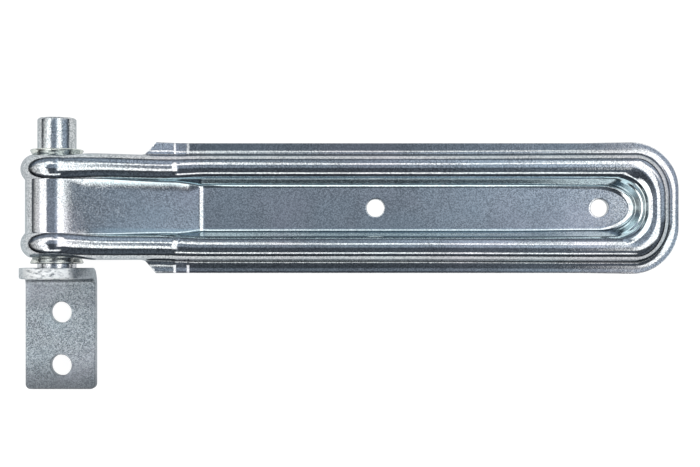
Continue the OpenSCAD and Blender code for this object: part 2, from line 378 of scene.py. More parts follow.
# the inner wall round the strap's end, from the floor up to the crest: the press left shallow steps in it
STEPS_X = [241.5, 243.4, 243.9, 244.3, 245.75, 246.6, 247.05, 247.45, 248.15, 249.85, 251.9]
STEPS_Z = [3.0, 4.15, 5.25, 5.45, 8.1, 8.55, 9.75, 9.95, 11.2, 12.2, 12.5]
STEPS_FINE = np.linspace(240.0, 253.0, 1301)
STEPS_SOFT = np.convolve(np.interp(np.linspace(239.9, 253.1, 1321), STEPS_X, STEPS_Z), np.ones(21) / 21, "valid")


def draw_marks(w, z, amount):
    """Height of a point of the strap's front near its end: the steps of the inner wall, and a flange that turns up a little."""
    if 8.3 < w < 16.9:
        z += (float(np.interp(end_x(w), STEPS_FINE, STEPS_SOFT)) - z) * amount * sm(w, 8.3, 8.6) * (1 - sm(w, 15.5, 16.9))
    return z + math.tan(rad(3)) * max(0.0, w - 23.0) * min(1.0, 1.3 * amount)


def corner_ring(a):
    ring = []
    for w, z in FLAT_240:
        y = spread(w, 240)
        b, c, xe = min(END_B(w), 0.97 * y), END_A(w), end_x(w)
        front = len(ring) < len(SEC_240)
        amount = math.cos(a) ** 1.2 if front and a < 1.57 else 0.0
        ring.append((xe - c + c * math.cos(a), y - b + b * math.sin(a), draw_marks(w, z, amount)))
    return ring


def middle_ring():
    return [(end_x(w), 0.0, draw_marks(w, z, 1.0 if i < len(SEC_240) else 0.0)) for i, (w, z) in enumerate(FLAT_240)]


def stations(start, stop, n):
    return [start + (stop - start) * k / n for k in range(n + 1)]


def all_rings(upper):
    rings = [eye_ring(a) for a in stations(rad(-EYE_WRAP), PAD_SLOPE - rad(2.5), 96)]
    xs = stations(9.0, 34.0, 13) + stations(34.4, 39.9, 22)
    xs += stations(40.6, 45.8, 6)
    for xb, l in ((FLANGE_BEND_2, RIM_L2), (CREST_BEND, CREST_L), (STEP_A, RIM_L1), (STEP_B, RIM_L1), (FLOOR_BEND, PAD_L)):
        xs += [xb + l * u for u in (-1.25, -1, -0.8, -0.6, -0.4, -0.2, 0, 0.2, 0.4, 0.6, 0.8, 1, 1.25)]
    xs += stations(61.5, 68, 5) + [90, 120, 150]
    xs += stations(158, 221, 14)
    keep = []
    for x in sorted(xs):
        if not keep or x - keep[-1] > 0.12:
            keep.append(x)
    flat_from = len(rings) + next(i for i, x in enumerate(keep) if x >= FLOOR_BEND + PAD_L * 1.2)
    rings += [run_ring(x, upper) for x in keep]
    rings += [corner_ring(a) for a in stations(math.pi / 2, 0.0, 26)]
    return rings, middle_ring(), flat_from


def new_object(name, verts, faces, smooth_angle=32, weld=2e-6):
    """A mesh object from points in the row frame, with its faces turned outwards."""
    mesh = bpy.data.meshes.new(name)
    mesh.from_pydata([tuple(v) for v in verts], [], [list(f) for f in faces])
    import bmesh
    bm = bmesh.new()
    bm.from_mesh(mesh)
    bmesh.ops.remove_doubles(bm, verts=bm.verts, dist=weld)
    bmesh.ops.dissolve_degenerate(bm, edges=bm.edges, dist=weld)
    bmesh.ops.recalc_face_normals(bm, faces=bm.faces)
    bm.to_mesh(mesh)
    bm.free()
    mesh.shade_smooth()
    mesh.set_sharp_from_angle(angle=rad(smooth_angle))
    mesh.validate()
    ob = bpy.data.objects.new(name, mesh)
    bpy.context.scene.collection.objects.link(ob)
    return ob


# --------------------------------------------------------------- the strap
def circle(cx, cy, r, n):
    return [(cx + r * math.cos(2 * math.pi * k / n), cy + r * math.sin(2 * math.pi * k / n)) for k in range(n)]


def flat_with_holes(boundary, holes):
    """Triangles of a flat area with round holes: returns points and triangles."""
    pts, edges = [], []

    def loop(points):
        s = len(pts)
        pts.extend(points)
        edges.extend((s + k, s + (k + 1) % len(points)) for k in range(len(points)))

    loop(boundary)
    for h in holes:
        loop(h)
    v, e, f, _, made_of, _ = delaunay_2d_cdt([Vector(p) for p in pts], edges, [], 1, 1e-7, True)
    rims = {frozenset(s) for s, m in zip(e, made_of) if m}
    keep = []
    for t in f:
        c = sum((v[i] for i in t), Vector((0, 0))) / len(t)
        if not any((c - sum((Vector(p) for p in h), Vector((0, 0))) / len(h)).length
                   < (Vector(h[0]) - sum((Vector(p) for p in h), Vector((0, 0))) / len(h)).length * 0.999 for h in holes):
            keep.append(tuple(t))
    # slivers outside the boundary have a side of their own that is no rim
    while True:
        sides = [[frozenset((t[k - 1], t[k])) for k in range(len(t))] for t in keep]
        used = {}
        for s in sides:
            for q in s:
                used[q] = used.get(q, 0) + 1
        inner = [t for t, s in zip(keep, sides) if all(used[q] > 1 or q in rims for q in s)]
        if len(inner) == len(keep):
            break
        keep = inner
    return [tuple(p) for p in v], keep


HOLE_N = 64
LAND = 0.5  # a flat ring round each hole, so that the rounding of its rim doesn't shade the face beside it


def hole_wall(cx, cy, r, z_front, z_back, roll, verts, faces):
    """The wall of a hole with a small rounding at its front and back rims, and a flat ring round each."""
    rings = [(r + roll + LAND, z_front)]
    for k in range(5):
        a = math.pi / 2 * k / 4
        rings.append((r + roll * (1 - math.sin(a)), z_front - roll * (1 - math.cos(a))))
    for k in range(4, -1, -1):
        a = math.pi / 2 * k / 4
        rings.append((r + 0.6 * roll * (1 - math.sin(a)), z_back + 0.6 * roll * (1 - math.cos(a))))
    rings.append((r + 0.6 * roll + LAND, z_back))
    base = len(verts)
    for rr, z in rings:
        verts.extend((x, y, z) for x, y in circle(cx, cy, rr, HOLE_N))
    for i in range(len(rings) - 1):
        for k in range(HOLE_N):
            a, b = base + i * HOLE_N + k, base + i * HOLE_N + (k + 1) % HOLE_N
            faces.append((a, b, b + HOLE_N, a + HOLE_N))


def build_strap():
    rings, middle, flat_from = all_rings(True)
    M = len(middle)
    verts, faces = [], []
    for r in rings:
        verts.extend(r)
    mid = len(verts)
    verts.extend(middle)
    other = len(verts)
    for r in all_rings(False)[0]:
        verts.extend((x, -y, z) for x, y, z in r)
    N = len(rings)

    def R(i, j):
        return mid + j if i == N else i * M + j

    def L(i, j):
        return mid + j if i == N else other + i * M + j

    for i in range(N):
        for j in range(M - 1):
            faces.append((R(i, j), R(i, j + 1), R(i + 1, j + 1), R(i + 1, j)))
            faces.append((L(i, j), L(i + 1, j), L(i + 1, j + 1), L(i, j + 1)))
    # the floor between the two sides, up to where it is flat and has the bolt holes
    for i in range(flat_from):
        faces.append((R(i, 0), R(i + 1, 0), L(i + 1, 0), L(i, 0)))
        faces.append((R(i, M - 1), L(i, M - 1), L(i + 1, M - 1), R(i + 1, M - 1)))
    # free end of the rolled sheet
    faces.append([R(0, j) for j in range(M)] + [L(0, j) for j in range(M - 1, -1, -1)])
    hx = (PIN_TO_BOLTS - STRAP_PITCH / 2, PIN_TO_BOLTS + STRAP_PITCH / 2)
    for j, z, roll in ((0, SHEET, 0.35), (M - 1, 0.0, 0.21)):
        edge = [verts[R(i, j)][:2] for i in range(flat_from, N)] + [verts[mid + j][:2]]
        edge += [verts[L(i, j)][:2] for i in range(N - 1, flat_from - 1, -1)]
        pts, tris = flat_with_holes(edge, [circle(x, 0, STRAP_HOLE_R + roll + LAND, HOLE_N) for x in hx])
        base = len(verts)
        verts.extend((x, y, z) for x, y in pts)
        faces.extend(tuple(base + k for k in t) for t in tris)
    for x in hx:
        hole_wall(x, 0, STRAP_HOLE_R, SHEET, 0.0, 0.35, verts, faces)
    return new_object("strap_pressing", [row(v) for v in verts], faces)


# ------------------------------------------------------- turned pieces
def turned_piece(name, profile, n=128, closed=True):
    """A piece turned round the pin's axis from (radius, y) points."""
    verts, faces = [], []
    for r, y in profile:
        for k in range(n):
            a = 2 * math.pi * k / n
            verts.append((r * math.cos(a), y, PIN_Z + r * math.sin(a)))
    m = len(profile)
    for i in range(m if closed else m - 1):
        for k in range(n):
            a, b = i * n + k, i * n + (k + 1) % n
            c = (i + 1) % m * n
            faces.append((a, b, c + (k + 1) % n, c + k))
    if not closed:
        faces.append(list(range(n)))
        faces.append(list(range((m - 1) * n, m * n)))
    return new_object(name, [row(v) for v in verts], faces)


def arc(cr, cy, r, a0, a1, n):
    return [(cr + r * math.cos(rad(a0 + (a1 - a0) * k / n)), cy + r * math.sin(rad(a0 + (a1 - a0) * k / n)))
            for k in range(n + 1)]


def build_bush():
    h = BUSH_HALF
    half = [(BUSH_R, 0.0), (BUSH_R, EYE_Y), (BUSH_R + 0.06, EYE_Y + 0.2), (BUSH_R + 0.2, EYE_Y + 0.5),
            (BUSH_R + 0.5, EYE_Y + 1.1), (BUSH_R + 0.8, EYE_Y + 1.7)]
    half += arc(FLARE_R - 0.25, h - 0.45, 0.25, -20, 70, 5)
    half += [(FLARE_R - 0.3, h - 0.06), (FLARE_R - 0.6, h)]
    half += arc(BUSH_BORE + 0.35, h - 0.35, 0.35, 90, 180, 5)
    profile = half + [(r, -y) for r, y in reversed(half) if y > 0]
    return turned_piece("bush_tube", profile)


def build_pin():
    foot = -SHELF_Y - BAR_T
    profile = [(PIN_R - 1.2, foot), (PIN_R - 0.15, foot), (PIN_R, foot + 0.15), (PIN_R, foot + 1), (PIN_R, PIN_TOP - PIN_CHAMFER - 1.5)]
    # the top edge is broken and slightly worn
    profile += [(PIN_R, PIN_TOP - PIN_CHAMFER - 0.12), (PIN_R - 0.03, PIN_TOP - PIN_CHAMFER),
                (PIN_R - 0.1, PIN_TOP - PIN_CHAMFER + 0.12), (PIN_R - PIN_CHAMFER + 0.1, PIN_TOP - 0.1),
                (PIN_R - PIN_CHAMFER - 0.02, PIN_TOP - 0.02), (PIN_R - PIN_CHAMFER - 0.15, PIN_TOP),
                (PIN_R - 2.5, PIN_TOP)]
    return turned_piece("pin_round", profile, closed=False)


# ---------------------------------------------------------- the bracket
def bar_outline(w, roll_f, roll_b, t, n=4):
    """Half section of the bar, from the middle of its front face round its edge to the middle of its back."""
    hw = w / 2
    out = [(0.0, 0.0), (hw - roll_f - 0.3, 0.0)]
    for k in range(n + 1):
        a = math.pi / 2 * k / n
        out.append((hw - roll_f + roll_f * math.sin(a), -roll_f * (1 - math.cos(a))))
    for k in range(n, -1, -1):
        a = math.pi / 2 * k / n
        out.append((hw - roll_b + roll_b * math.sin(a), -t + roll_b * (1 - math.cos(a))))
    out += [(hw - roll_b - 0.3, -t), (0.0, -t)]
    return out


def build_bracket():
    """The bar is built flat, as a plate with holes in the plane (u across, v along), then bent round the fold."""
    roll_f, roll_b = 0.9, 0.35
    hw = BAR_W / 2
    inner, outer = FOLD_R, FOLD_R + BAR_T
    cz, cy = LEG_Z + BAR_T + FOLD_R, -SHELF_Y - BAR_T - FOLD_R
    # v runs from the foot of the leg up to the fold, round it and out along the shelf
    leg = cy + LEG_FOOT                     # straight length of the leg
    bent = inner * math.pi / 2              # length of the fold on its front, inner side
    shelf = (PIN_Z - cz)                    # straight length of the shelf to the middle of its round end

    def shape(inset):
        """Outline of the bar, moved inwards by inset: foot corners, straight sides, full round end."""
        w = hw - inset
        r = max(FOOT_R - inset, 0.15)
        pts = []
        n = 10
        for k in range(n + 1):
            a = math.pi * 1.5 + math.pi / 2 * k / n
            pts.append((w - r + r * math.cos(a), inset + r + r * math.sin(a)))
        for v in along:
            pts.append((w, v))
        for k in range(1, 48):
            a = math.pi * k / 48
            pts.append((w * math.cos(a), leg + bent + shelf + w * math.sin(a)))
        for v in reversed(along):
            pts.append((-w, v))
        for k in range(n + 1):
            a = math.pi + math.pi / 2 * k / n
            pts.append((-w + r + r * math.cos(a), inset + r + r * math.sin(a)))
        return pts

    along = stations(4.0, leg - 0.3, 16) + stations(leg, leg + bent, 14) + stations(leg + bent + 0.3, leg + bent + shelf, 4)

    def place(u, v, depth):
        """From the flat bar (depth below its front face) to the folded one."""
        x = BRACKET_X + u
        if v <= leg:
            return (x, -LEG_FOOT + v, LEG_Z + BAR_T - depth)
        if v <= leg + bent:
            a = (v - leg) / inner
            r = inner + depth
            return (x, cy + r * math.sin(a), cz - r * math.cos(a))
        return (x, cy + inner + depth, cz + (v - leg - bent))

    levels = [(roll_f + LAND, 0.0)]
    for k in range(6):
        a = math.pi / 2 * k / 5
        levels.append((roll_f * (1 - math.sin(a)), roll_f * (1 - math.cos(a))))
    for k in range(4, -1, -1):
        a = math.pi / 2 * k / 4
        levels.append((roll_b * (1 - math.sin(a)), BAR_T - roll_b * (1 - math.cos(a))))
    levels.append((roll_b + LAND, BAR_T))
    verts, faces = [], []
    outlines = [shape(i) for i, _ in levels]
    P = len(outlines[0])
    for pts, (_, d) in zip(outlines, levels):
        verts.extend(place(u, v, d) for u, v in pts)
    for i in range(len(levels) - 1):
        for k in range(P):
            a, b = i * P + k, i * P + (k + 1) % P
            faces.append((a, b, b + P, a + P))
    # the two broad faces, cut into strips so that they follow the fold, with their holes
    holes = [(HOLES_X - BRACKET_X, LEG_FOOT - HOLES_Y + s * HOLES_PITCH / 2, HOLE_R) for s in (-1, 1)]
    seat = (-BRACKET_X, leg + bent + shelf, PIN_R)
    for depth, pts, roll in ((0.0, outlines[0], 0.4 + LAND), (BAR_T, outlines[-1], 0.24 + LAND)):
        loops = [circle(u, v, r + roll, HOLE_N) for u, v, r in holes] + [circle(seat[0], seat[1], PIN_R, 96)]
        lines = []
        w = max(p[0] for p in pts)
        for v in [leg - 0.3] + stations(leg, leg + bent, 14) + [leg + bent + 0.3]:
            lines.append(((-w, v), (w, v)))
        all_pts, edges = [], []
        for lp in [pts] + loops:
            s = len(all_pts)
            all_pts.extend(lp)
            edges.extend((s + k, s + (k + 1) % len(lp)) for k in range(len(lp)))
        for a, b in lines:
            s = len(all_pts)
            all_pts.extend([a, b])
            edges.append((s, s + 1))
        v2, _, f2, *_ = delaunay_2d_cdt([Vector(p) for p in all_pts], edges, [], 1, 1e-6, False)
        base = len(verts)
        verts.extend(place(p[0], p[1], depth) for p in v2)
        for t in f2:
            c = sum((v2[i] for i in t), Vector((0, 0))) / len(t)
            if any(math.dist(c, h[:2]) < (h[2] + roll) * 0.998 for h in holes) or math.dist(c, seat[:2]) < PIN_R * 0.999:
                continue
            faces.append(tuple(base + i for i in t))
    for u, v, r in holes:
        hole_wall(BRACKET_X + u, -LEG_FOOT + v, r, LEG_Z + BAR_T, LEG_Z, 0.4, verts, faces)
    # wall of the pin's seat
    base = len(verts)
    for depth in (0.0, BAR_T):
        verts.extend(place(u, v, depth) for u, v in circle(seat[0], seat[1], PIN_R, 96))
    for k in range(96):
        faces.append((base + k, base + (k + 1) % 96, base + 96 + (k + 1) % 96, base + 96 + k))
    return new_object("bracket_bar", [row(v) for v in verts], faces, smooth_angle=32, weld=4e-6)


# --------------------------------------------------------------- materials
class Nodes:
    """Small helper to write node trees in few lines."""

    def __init__(self, name, metallic, specular=0.5):
        self.mat = bpy.data.materials.new(name)
        self.mat.use_nodes = True
        self.t = self.mat.node_tree
        self.t.nodes.clear()
        self.out = self.t.nodes.new("ShaderNodeOutputMaterial")
        self.bsdf = self.t.nodes.new("ShaderNodeBsdfPrincipled")
        self.bsdf.inputs["Metallic"].default_value = metallic
        self.t.links.new(self.bsdf.outputs[0], self.out.inputs[0])
        self.coord = self.t.nodes.new("ShaderNodeTexCoord").outputs["Object"]

    def link(self, a, b):
        self.t.links.new(a, b)

    def mapping(self, scale=(1, 1, 1), rotation=(0, 0, 0), location=(0, 0, 0)):
        n = self.t.nodes.new("ShaderNodeMapping")
        n.inputs["Scale"].default_value = scale
        n.inputs["Rotation"].default_value = rotation
        n.inputs["Location"].default_value = location
        self.link(self.coord, n.inputs[0])
        return n.outputs[0]

    def noise(self, scale, detail=2.0, rough=0.5, vector=None, distortion=0.0):
        n = self.t.nodes.new("ShaderNodeTexNoise")
        n.inputs["Scale"].default_value = scale
        n.inputs["Detail"].default_value = detail
        n.inputs["Roughness"].default_value = rough
        n.inputs["Distortion"].default_value = distortion
        self.link(vector or self.coord, n.inputs["Vector"])
        return n.outputs["Fac"]

    def cells(self, scale, vector=None, feature="F1", out="Distance", randomness=1.0):
        n = self.t.nodes.new("ShaderNodeTexVoronoi")
        n.feature = feature
        n.inputs["Scale"].default_value = scale
        n.inputs["Randomness"].default_value = randomness
        self.link(vector or self.coord, n.inputs["Vector"])
        return n.outputs[out]

    def ramp(self, value, a, b, lo=0.0, hi=1.0):
        n = self.t.nodes.new("ShaderNodeMapRange")
        n.inputs["From Min"].default_value = a
        n.inputs["From Max"].default_value = b
        n.inputs["To Min"].default_value = lo
        n.inputs["To Max"].default_value = hi
        self.link(value, n.inputs["Value"])
        return n.outputs[0]

    def math(self, op, a, b=None, clamp=False):
        n = self.t.nodes.new("ShaderNodeMath")
        n.operation = op
        n.use_clamp = clamp
        for s, v in zip(n.inputs, (a, b)):
            if v is None:
                continue
            if isinstance(v, (int, float)):
                s.default_value = v
            else:
                self.link(v, s)
        return n.outputs[0]

    def mix(self, fac, a, b):
        n = self.t.nodes.new("ShaderNodeMix")
        n.data_type = "RGBA"
        for s, v in ((n.inputs[0], fac), (n.inputs[6], a), (n.inputs[7], b)):
            if isinstance(v, (int, float)):
                s.default_value = v
            elif isinstance(v, tuple):
                s.default_value = (*v, 1)
            else:
                self.link(v, s)
        return n.outputs[2]

    def bump(self, height, distance, strength=1.0, before=None):
        n = self.t.nodes.new("ShaderNodeBump")
        n.inputs["Strength"].default_value = strength
        n.inputs["Distance"].default_value = distance
        self.link(height, n.inputs["Height"])
        if before is not None:
            self.link(before, n.inputs["Normal"])
        return n.outputs[0]


def scratch(m, x0, y0, x1, y1, width=0.00022):
    """A thin scratch between two points of the strap's front, in mm of the pin's frame. 1 on it and 0 off it."""
    ax, ay, bx, by = row((x0, y0, 0))[0], y0 * 1e-3, row((x1, y1, 0))[0], y1 * 1e-3
    length, turn = math.hypot(bx - ax, by - ay), math.atan2(by - ay, bx - ax)
    # moved and turned so that the scratch runs along X from 0 to its length
    cx, cy = -(ax * math.cos(turn) + ay * math.sin(turn)), ax * math.sin(turn) - ay * math.cos(turn)
    sep = m.t.nodes.new("ShaderNodeSeparateXYZ")
    m.link(m.mapping((1, 1, 1), (0, 0, -turn), (cx, cy, 0)), sep.inputs[0])
    waver = m.math("MULTIPLY", m.math("SUBTRACT", m.noise(260, 1), 0.5), 0.0009)
    across = m.ramp(m.math("ABSOLUTE", m.math("ADD", sep.outputs[1], waver)), width * 0.4, width, 1.0, 0.0)
    along = m.ramp(m.math("ABSOLUTE", m.math("SUBTRACT", sep.outputs[0], length / 2)), length * 0.42, length * 0.5, 1.0, 0.0)
    return m.math("MULTIPLY", across, along)


def zinc(name, tint, dark, rough_lo, rough_hi, speckle, ripple, grain_scale, scratches=0.35, marks=(), flange=False, foot=False):
    """Electroplated zinc: bright metal with a fine speckle, soft ripples in the sheet, and thin handling scratches."""
    m = Nodes(name, 1.0)
    # metal stays as dark towards its edges as the plating's oxide makes it, instead of turning white
    m.bsdf.inputs["Specular Tint"].default_value = (0.61, 0.64, 0.66, 1)
    fine = m.noise(grain_scale, 1, 0.6)
    cells = m.cells(grain_scale * 0.9, out="Color")
    sep = m.t.nodes.new("ShaderNodeSeparateColor")
    m.link(cells, sep.inputs[0])
    grain = m.math("ADD", m.math("MULTIPLY", sep.outputs[0], 0.65), m.math("MULTIPLY", m.ramp(fine, 0.3, 0.7), 0.35))
    colour = m.mix(m.ramp(grain, 0.25, 0.75), dark, tint)
    # bright specks, thicker in some places than in others
    specks = m.ramp(m.noise(grain_scale * 0.62, 1, 0.5, m.mapping((1, 1, 1), (0, 0, 0), (0.9, 0.4, 0.6))), 0.63, 0.70)
    specks = m.math("MULTIPLY", specks, m.ramp(m.noise(42, 2, 0.5, m.mapping((1, 1, 1), (0, 0, 0), (0.2, 0.8, 0.1))), 0.40, 0.62, 0.15, 1.0))
    colour = m.mix(m.math("MULTIPLY", specks, 0.75), colour, (0.92, 0.95, 0.97))
    # soft clouds and a faint change of hue, as passivated zinc has
    cloud = m.noise(60, 2, 0.5)
    colour = m.mix(m.ramp(cloud, 0.45, 0.75, 0.0, 0.25), colour, dark)
    hue = m.noise(34, 2, 0.5, m.mapping((1, 1, 1), (0, 0, 0), (0.7, 0.2, 0.4)))
    colour = m.mix(m.ramp(hue, 0.5, 0.68, 0.0, 0.25), colour, (tint[0] * 0.86, tint[1] * 1.0, tint[2] * 1.04))
    colour = m.mix(m.ramp(hue, 0.5, 0.34, 0.0, 0.35), colour, (tint[0] * 1.0, tint[1] * 0.92, tint[2] * 0.97))
    place = m.t.nodes.new("ShaderNodeSeparateXYZ")
    m.link(m.coord, place.inputs[0])
    if flange:
        # painted shade: the flat flange along the sides is darkened to stand in for the darker room it reflects, more
        # on the +y side than on the other
        side = m.ramp(m.math("ABSOLUTE", place.outputs[1]), 0.0232, 0.0246)
        side = m.math("MULTIPLY", side, m.ramp(place.outputs[2], 0.0045, 0.0035))
        side = m.math("MULTIPLY", side, m.ramp(place.outputs[0], 0.078, 0.055))
        side = m.math("MULTIPLY", side, m.ramp(place.outputs[1], -0.02, 0.02, 0.22, 0.48))
        colour = m.mix(side, colour, (0.06, 0.065, 0.072))
        # painted reflection: the inner walls along the sides are tinted blue-green for the cool light they reflect
        wall = m.math("MULTIPLY", m.ramp(m.math("ABSOLUTE", place.outputs[1]), 0.0085, 0.0095),
                      m.ramp(m.math("ABSOLUTE", place.outputs[1]), 0.0135, 0.0122))
        wall = m.math("MULTIPLY", wall, m.math("MULTIPLY", m.ramp(place.outputs[0], -0.168, -0.158), m.ramp(place.outputs[0], 0.064, 0.056)))
        colour = m.mix(m.math("MULTIPLY", wall, 0.55), colour, (tint[0] * 0.90, tint[1] * 1.08, tint[2] * 1.11))
        # painted reflection: the inner wall round the strap's end is painted bright, near white with a teal cast, for
        # the light that bounces between its walls
        end_wall_painted_reflection = m.math("MULTIPLY", m.ramp(place.outputs[0], 0.0575, 0.0605), m.ramp(place.outputs[0], 0.0680, 0.0665))
        end_wall_painted_reflection = m.math("MULTIPLY", end_wall_painted_reflection, m.ramp(place.outputs[2], 0.0032, 0.0036))
        end_wall_painted_reflection = m.math("MULTIPLY", end_wall_painted_reflection, m.ramp(m.math("ABSOLUTE", place.outputs[1]), 0.0115, 0.0085))
        colour = m.mix(end_wall_painted_reflection, colour, (0.84, 0.95, 0.96))
    if foot:
        # darker towards the foot of the leg
        darker_to_foot = m.math("ADD", place.outputs[1], m.math("MULTIPLY", m.math("SUBTRACT", m.noise(120, 3, 0.6), 0.5), 0.006))
        colour = m.mix(m.ramp(darker_to_foot, -0.0635, -0.0745, 0.0, 0.62), colour, tuple(c * 0.45 for c in dark))
        band = m.math("ABSOLUTE", m.math("ADD", place.outputs[1], 0.0398))
        colour = m.mix(m.math("MULTIPLY", m.ramp(band, 0.0035, 0.0006), 0.15), colour, tuple(c * 0.5 for c in dark))
        spots = m.ramp(m.noise(grain_scale * 0.6, 1, 0.5, m.mapping((1, 1, 1), (0, 0, 0), (0.1, 0.5, 0.9))), 0.68, 0.78)
        colour = m.mix(m.math("MULTIPLY", spots, 0.4), colour, tuple(c * 0.4 for c in dark))
        # painted highlight: the upper part of the sheared edge round the shelf's end is painted near white, brightest
        # over the pin and broken up by a coarse torn pattern with dark pits; painted shade darkens the shelf's right
        # part
        dx, dz = m.math("ADD", place.outputs[0], 0.18165), m.math("SUBTRACT", place.outputs[2], 0.019)
        radius = m.math("SQRT", m.math("ADD", m.math("MULTIPLY", dx, dx), m.math("MULTIPLY", dz, dz)))
        sheared = m.ramp(radius, 0.0136, 0.0143)
        top = m.math("MULTIPLY", m.ramp(place.outputs[2], 0.0225, 0.0245), m.ramp(place.outputs[0], -0.1715, -0.1735))
        top = m.math("MULTIPLY", top, sheared)
        torn = m.ramp(m.noise(420, 3, 0.65, m.mapping((1, 2.2, 1))), 0.30, 0.52)
        top = m.math("MULTIPLY", top, m.ramp(place.outputs[0], -0.1940, -0.1900, 0.35, 1.0))
        pits = m.math("MULTIPLY", top, m.math("SUBTRACT", 1.0, torn))
        colour = m.mix(m.math("MULTIPLY", pits, 0.35), colour, tuple(c * 0.5 for c in dark))
        top = m.math("MULTIPLY", top, torn)
        # painted shade on the right part of the shelf, against the floor it reflects
        right = m.math("MULTIPLY", m.ramp(place.outputs[2], 0.0145, 0.0165), m.ramp(place.outputs[0], -0.1745, -0.1725))
        colour = m.mix(m.math("MULTIPLY", right, 0.25), colour, dark)
        # the painted highlight on the sheared edge
        colour = m.mix(top, colour, (0.97, 0.985, 0.98))
    # short fine scratches that cross each other, in patches
    bent = m.t.nodes.new("ShaderNodeVectorMath")
    bent.operation = "ADD"
    warp = m.t.nodes.new("ShaderNodeTexNoise")
    warp.inputs["Scale"].default_value = 110
    m.link(m.coord, warp.inputs["Vector"])
    small = m.t.nodes.new("ShaderNodeVectorMath")
    small.operation = "SCALE"
    small.inputs["Scale"].default_value = 0.004
    m.link(warp.outputs["Color"], small.inputs[0])
    m.link(m.coord, bent.inputs[0])
    m.link(small.outputs[0], bent.inputs[1])
    lines = None
    for turn, sc in ((0.35, (2600, 150, 200)), (-0.9, (2800, 170, 200)), (1.25, (2500, 140, 200)), (2.3, (2700, 180, 200))):
        mp = m.t.nodes.new("ShaderNodeMapping")
        mp.inputs["Scale"].default_value = sc
        mp.inputs["Rotation"].default_value = (0, 0, turn)
        m.link(bent.outputs[0], mp.inputs[0])
        hit = m.ramp(m.noise(1.0, 0, 0.5, mp.outputs[0]), 0.74, 0.80)
        lines = hit if lines is None else m.math("MAXIMUM", lines, hit)
    where = m.ramp(m.noise(30, 2, 0.5, m.mapping((1, 1, 1), (0, 0, 0), (0.3, 0.1, 0))), 0.48, 0.62)
    lines = m.math("MULTIPLY", lines, m.math("MULTIPLY", where, 0.6))
    for mark in marks:
        lines = m.math("MAXIMUM", lines, scratch(m, *mark))
    worn = m.mix(m.math("MULTIPLY", lines, scratches), colour, (0.93, 0.95, 0.96))
    m.link(worn, m.bsdf.inputs["Base Color"])
    rough = m.math("ADD", m.ramp(grain, 0.25, 0.75, rough_lo, rough_hi), m.math("MULTIPLY", lines, 0.25 * scratches))
    if foot:
        rough = m.math("ADD", rough, m.math("MULTIPLY", top, 0.22))
    m.link(rough, m.bsdf.inputs["Roughness"])
    soft = m.bump(m.noise(95, 2, 0.5), 0.00012, ripple)
    normal = m.bump(m.noise(grain_scale, 1, 0.6, m.mapping((1, 1, 1), (0, 0, 0), (0.5, 0.3, 0.2))), 0.0001, speckle, soft)
    normal = m.bump(lines, 0.00001, 0.4 * scratches, normal)
    if foot:
        normal = m.bump(top, 0.0003, 0.8, normal)
    m.link(normal, m.bsdf.inputs["Normal"])
    return m.mat


# where the photo shows single scratches: on the floor left of the first hole, and small stars on the pad
STRAP_MARKS = ((99.0, 8.4, 94.0, -7.4, 0.00014), (91.5, 6.0, 95.0, 1.5, 0.00013), (88.0, 1.0, 90.5, -4.5, 0.00013),
               (104.0, 5.5, 101.5, 2.5, 0.00013), (142.0, 6.0, 140.0, 3.0, 0.00013), (151.5, -3.0, 155.0, -5.5, 0.00013),
               (175.0, 5.5, 172.0, 4.2, 0.00013), (17.5, 10.5, 23.0, 6.5, 0.00017), (20.5, 11.2, 19.5, 5.5, 0.00017),
               (16.5, 7.0, 23.5, 9.4, 0.00017), (24.5, -1.0, 28.0, -4.5, 0.00014), (26.0, 0.5, 25.0, -5.0, 0.00014))
ZINC_SHEET = zinc("zinc_sheet", (0.66, 0.685, 0.70), (0.285, 0.305, 0.32), 0.04, 0.09, 0.16, 0.22, 2700, 0.36, STRAP_MARKS, flange=True)
ZINC_PIN = zinc("zinc_pin", (0.68, 0.70, 0.71), (0.28, 0.30, 0.31), 0.04, 0.09, 0.4, 0.05, 2600, 0.25)
ZINC_BUSH = zinc("zinc_bush", (0.74, 0.76, 0.71), (0.50, 0.515, 0.47), 0.12, 0.2, 0.3, 0.1, 2200, 0.2)
ZINC_BAR = zinc("zinc_bar", (0.55, 0.60, 0.63), (0.155, 0.18, 0.20), 0.34, 0.46, 0.8, 0.25, 3000, 0.12, foot=True)

# ---------------------------------------------------------------- pieces
strap = build_strap()
bush = build_bush()
pin = build_pin()
bar = build_bracket()
for ob, node, body, mat, slot in (
    (strap, "hinge_strap", "strap", ZINC_SHEET, "zinc_sheet"),
    (bush, "bush", "bush", ZINC_BUSH, "zinc_bush"),
    (pin, "hinge_pin", "bracket", ZINC_PIN, "zinc_pin"),
    (bar, "bracket_plate", "bracket", ZINC_BAR, "zinc_bar"),
):
    ob.data.materials.append(mat)
    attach(ob, body)
    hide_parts(node)
    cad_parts[node].data.materials.clear()
    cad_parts[node].data.materials.append(mat)

# ----------------------------------------------------------------- the stage
floor_mesh = bpy.data.meshes.new("stage_floor")
S = 6.0
floor_mesh.from_pydata([(-S, -S, -0.0004), (S, -S, -0.0004), (S, S, -0.0004), (-S, S, -0.0004)], [], [(0, 1, 2, 3)])
floor = bpy.data.objects.new("stage_floor", floor_mesh)
bpy.context.scene.collection.objects.link(floor)
fm = bpy.data.materials.new("stage_white")
fm.use_nodes = True
fb = fm.node_tree.nodes["Principled BSDF"]
fb.inputs["Base Color"].default_value = (0.15, 0.15, 0.15, 1)
fb.inputs["Roughness"].default_value = 0.9
fb.inputs["Specular IOR Level"].default_value = 0.0
fb.inputs["Emission Color"].default_value = (1, 1, 1, 1)
fb.inputs["Emission Strength"].default_value = 0.95
floor_mesh.materials.append(fm)

# Soft studio light: two big boxes to the left and right and two long strips, all far away and soft at their edges,
# in a dim room that is darker on the near side and at the horizon. Angles are in degrees from straight up.
world = bpy.data.worlds.new("studio")
world.use_nodes = True
bpy.context.scene.world = world


class Sky(Nodes):
    def __init__(self, tree):
        self.t = tree
        self.coord = None


